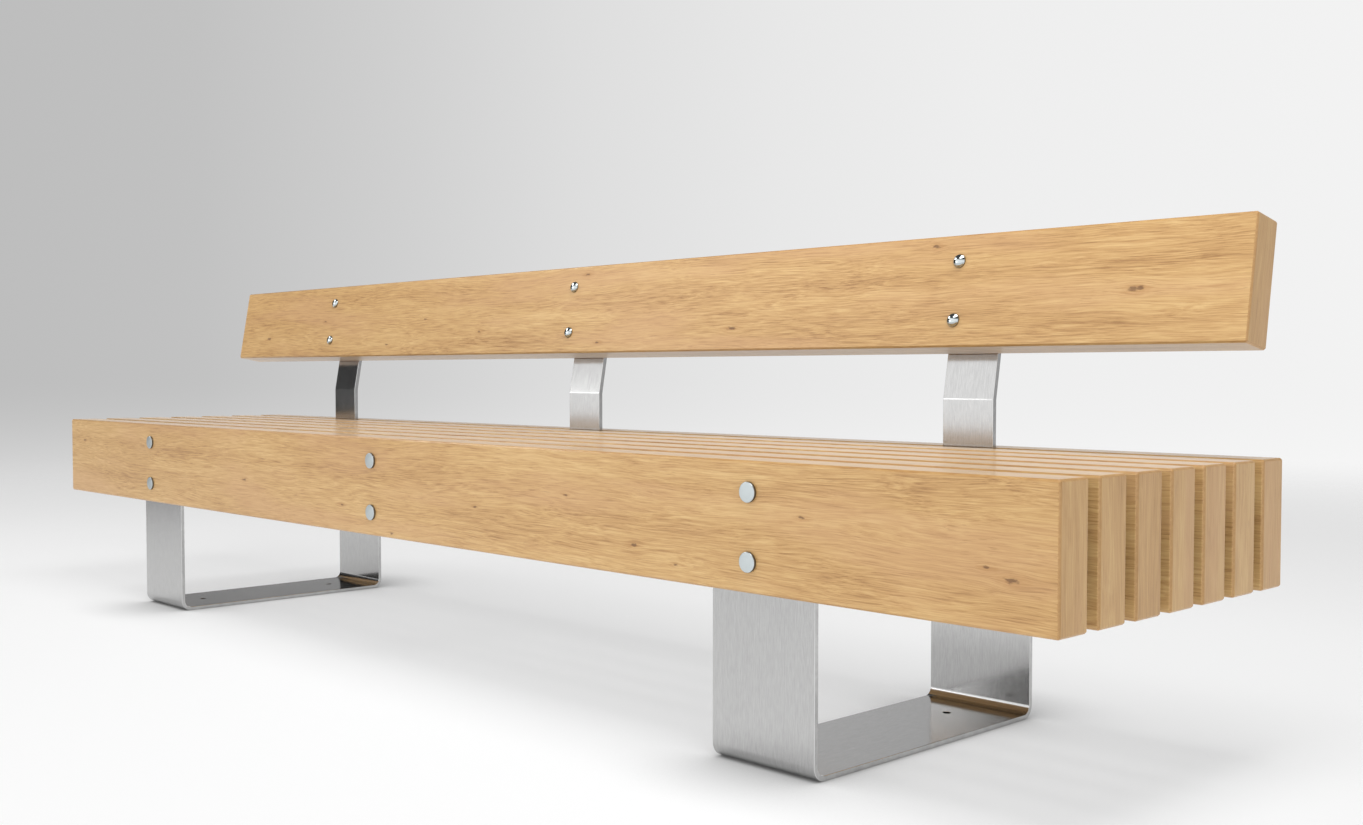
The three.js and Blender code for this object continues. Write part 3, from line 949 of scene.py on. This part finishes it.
def build_world():
    """The studio's walls, with greys of their own for the camera, for reflections and for soft light."""
    world = bpy.data.worlds.new("studio")
    bpy.context.scene.world = world
    world.use_nodes = True
    g = Graph(world.node_tree)
    x, y, z = g.split(g.node("ShaderNodeTexCoord").outputs["Generated"])
    heading = g.math("ARCTAN2", g.math("MULTIPLY", x, -1.0), y)
    heading = g.math("ADD", g.math("DIVIDE", heading, 2 * math.pi), 0.5)

    seen = heading_ramp(g, heading, BACKDROP)
    seen = g.blend(g.span(z, *BACKDROP_FOOT, 1.0, 0.0), seen, rgba(BACKDROP_FLOOR))

    lit = heading_ramp(g, heading, SURROUND)
    lit = g.blend(g.span(z, *SURROUND_TOP), lit, rgba(SURROUND_CEILING))
    lit = g.blend(g.span(z, *SURROUND_FOOT, 1.0, 0.0), lit, rgba(SURROUND_FLOOR))

    mirrored_low = heading_ramp(g, heading, MIRRORED_LOW)
    mirrored_high = heading_ramp(g, heading, MIRRORED_HIGH)
    mirrored = g.blend(g.span(z, *MIRRORED_MIDDLE), mirrored_low, mirrored_high)
    mirrored = g.blend(g.span(z, *MIRRORED_TOP), mirrored, rgba(MIRRORED_CEILING))
    mirrored = g.blend(g.span(z, *MIRRORED_FOOT, 1.0, 0.0), mirrored, rgba(MIRRORED_FLOOR))

    path = g.node("ShaderNodeLightPath")
    is_repeat = g.math("GREATER_THAN", path.outputs["Glossy Depth"], REPEAT_DEPTH)
    loss = g.math("MULTIPLY", is_repeat, g.span(z, *REPEAT_FOOT, 0.0, REPEAT_LOSS))
    mirrored = g.blend(loss, mirrored, rgba(0.0))
    colour = g.blend(path.outputs["Is Glossy Ray"], lit, mirrored)
    colour = g.blend(path.outputs["Is Camera Ray"], colour, seen)
    background = g.node("ShaderNodeBackground", {"Color": colour, "Strength": 1.0})
    g.node("ShaderNodeOutputWorld", {"Surface": background.outputs[0]})


def build_floor():
    """A pale floor that turns into the backdrop with distance, and that is clear from below."""
    bm = bmesh.new()
    bmesh.ops.create_grid(bm, x_segments=8, y_segments=8, size=FLOOR_HALF_SIZE)
    floor = piece_of("floor", bm)
    floor.location.z = FLOOR_Z
    material, g = new_material("floor")
    place = g.node("ShaderNodeTexCoord").outputs["Object"]
    distance = g.vector("LENGTH", g.vector("MULTIPLY", place, (1, 1, 0)))
    reflected = g.node("ShaderNodeLightPath").outputs["Is Glossy Ray"]
    reflected_gone = g.math("MULTIPLY", g.span(distance, *REFLECTED_FLOOR_FADE), reflected)
    gone = g.math("MAXIMUM", g.span(distance, *FLOOR_FADE), reflected_gone)
    gone = g.math("MAXIMUM", gone, g.node("ShaderNodeNewGeometry").outputs["Backfacing"])

    white = g.node("ShaderNodeBsdfDiffuse", {"Color": rgba(FLOOR_WHITE)})
    openness = g.node("ShaderNodeAmbientOcclusion", {"Distance": CONTACT_REACH}, samples=CONTACT_SAMPLES)
    contact = g.math("POWER", openness.outputs["AO"], CONTACT_DEPTH)
    glow = g.node("ShaderNodeEmission", {"Color": rgba(FLOOR_GLOW), "Strength": contact})
    lit = g.node("ShaderNodeMixShader", {0: FLOOR_GLOW_SHARE, 1: white.outputs[0], 2: glow.outputs[0]})
    clear = g.node("ShaderNodeBsdfTransparent")
    mix = g.node("ShaderNodeMixShader", {0: gone, 1: lit.outputs[0], 2: clear.outputs[0]})
    g.node("ShaderNodeOutputMaterial", {"Surface": mix.outputs[0]})
    floor.data.materials.append(material)


def softbox(name, azimuth, elevation, distance, width, height, radiance):
    """A soft area light that looks at the bench."""
    around, up = math.radians(azimuth), math.radians(elevation)
    away = Vector((-math.sin(around) * math.cos(up), -math.cos(around) * math.cos(up), math.sin(up)))
    light = bpy.data.lights.new(name, "AREA")
    light.shape = "RECTANGLE"
    light.size, light.size_y = width, height
    light.energy = radiance * math.pi * width * height
    lamp = bpy.data.objects.new(name, light)
    lamp.location = LIGHT_TARGET + away * distance
    lamp.rotation_mode = "QUATERNION"
    lamp.rotation_quaternion = (-away).to_track_quat("-Z", "Y")
    bpy.context.scene.collection.objects.link(lamp)


def build_camera():
    data = bpy.data.cameras.new("camera")
    data.sensor_width = CAMERA_SENSOR
    data.lens = CAMERA_LENS
    data.shift_y = CAMERA_SHIFT
    data.clip_start, data.clip_end = CAMERA_CLIP
    camera = bpy.data.objects.new("camera", data)
    camera.location = CAMERA_PLACE
    camera.rotation_euler = (math.radians(90 - CAMERA_DIP), 0, math.radians(CAMERA_HEADING))
    bpy.context.scene.collection.objects.link(camera)
    bpy.context.scene.camera = camera


# ---------------------------------------------------------------- assembly

# Knots in each board: how far along from its middle, how far up from its middle, and how big
SEAT_KNOTS = {
    1: (
        (-1.41, 0.042, 3.5 * MM), (-0.52, -0.015, 4 * MM), (-0.11, -0.042, 3 * MM), (0.07, -0.085, 3 * MM),
        (0.34, -0.016, 3 * MM), (0.59, 0.020, 2.5 * MM), (0.755, -0.047, 4 * MM), (0.85, -0.068, 3 * MM),
        (1.10, 0.021, 3 * MM), (1.40, -0.018, 3 * MM), (1.435, -0.031, 5 * MM),
    ),
    2: ((-0.70, 0.02, 4 * MM), (1.46, 0.045, 5 * MM)),
    3: ((0.25, -0.03, 5 * MM), (1.10, 0.05, 3 * MM)),
    4: ((-1.10, 0.04, 4 * MM), (0.60, -0.02, 5 * MM)),
    5: ((-0.20, 0.01, 5 * MM), (1.30, -0.05, 3 * MM)),
    6: ((0.90, 0.03, 4 * MM), (-1.25, -0.04, 4 * MM)),
    7: ((-0.85, 0.02, 5 * MM), (0.35, -0.05, 4 * MM), (1.20, 0.03, 5 * MM)),
}
BACK_KNOTS = (
    (-1.34, -0.041, 5 * MM), (-1.04, 0.001, 3 * MM), (-0.72, -0.066, 3 * MM), (-0.56, -0.005, 3 * MM),
    (-0.33, -0.041, 3 * MM), (0.04, 0.076, 3.5 * MM), (0.10, -0.073, 3 * MM), (0.49, -0.052, 5 * MM),
    (0.95, 0.078, 4 * MM), (1.323, -0.010, 6 * MM),
)


def build_bench():
    """Every piece of the bench, each in place of its CAD node."""
    steel = brushed_steel()
    # The last number given to each is how strong the painted shade on its sides is
    plated = bright_steel("plated_steel", roughness_low=0.36, roughness_high=0.44, side_shade=0.9)
    polished = bright_steel("polished_steel", roughness_low=0.06, roughness_high=0.12, side_shade=0.7)
    capped = bright_steel("capped_steel", roughness_low=0.10, roughness_high=0.18, side_shade=0.0)
    nylon = black_nylon()
    for number in range(1, SEAT_BOARDS + 1):
        node = f"seat_board_{number}"
        cutters = hole_cutters("seat_bolt", node, 0.0, SEAT_HOLE_RADIUS)
        if number in (1, SEAT_BOARDS):
            cutters += mortise_cutters(node)
        board(node, 0.0, timber(f"oak_{number}", number, SEAT_KNOTS[number]), cutters)
    cutters = hole_cutters("back_bolt", "back_board", BACK_TILT, BACK_HOLE_RADIUS)
    oak = timber("oak_back", SEAT_BOARDS + 1, BACK_KNOTS, BACK_BOARD_SHADE)
    board("back_board", BACK_TILT, oak, cutters)
    for station in LEG_STATIONS:
        leg(station, steel)
    for station in STATIONS:
        back_support(station, steel)
        for index in range(1, SEAT_BOARDS):
            spacer(station, index, nylon)
        for level in LEVELS:
            end = f"{station}_{level}"
            bolt(f"seat_bolt_{end}", 0.0, seat_head(), SEAT_HEAD_HEIGHT, SEAT_ROD_RADIUS, plated)
            cap_nut(f"seat_nut_{end}", 0.0, SEAT_ROD_RADIUS, capped)
            bolt(f"back_bolt_{end}", BACK_TILT, dome_head(), DOME_HEIGHT, BACK_SHANK_RADIUS, polished)
            cap_nut(f"back_nut_{end}", BACK_TILT, BACK_SHANK_RADIUS, capped)


bpy.context.scene.view_settings.view_transform = "Standard"
build_world()
build_bench()
build_floor()
for light_name, light_setup in SOFTBOXES.items():
    softbox(light_name, *light_setup)
build_camera()
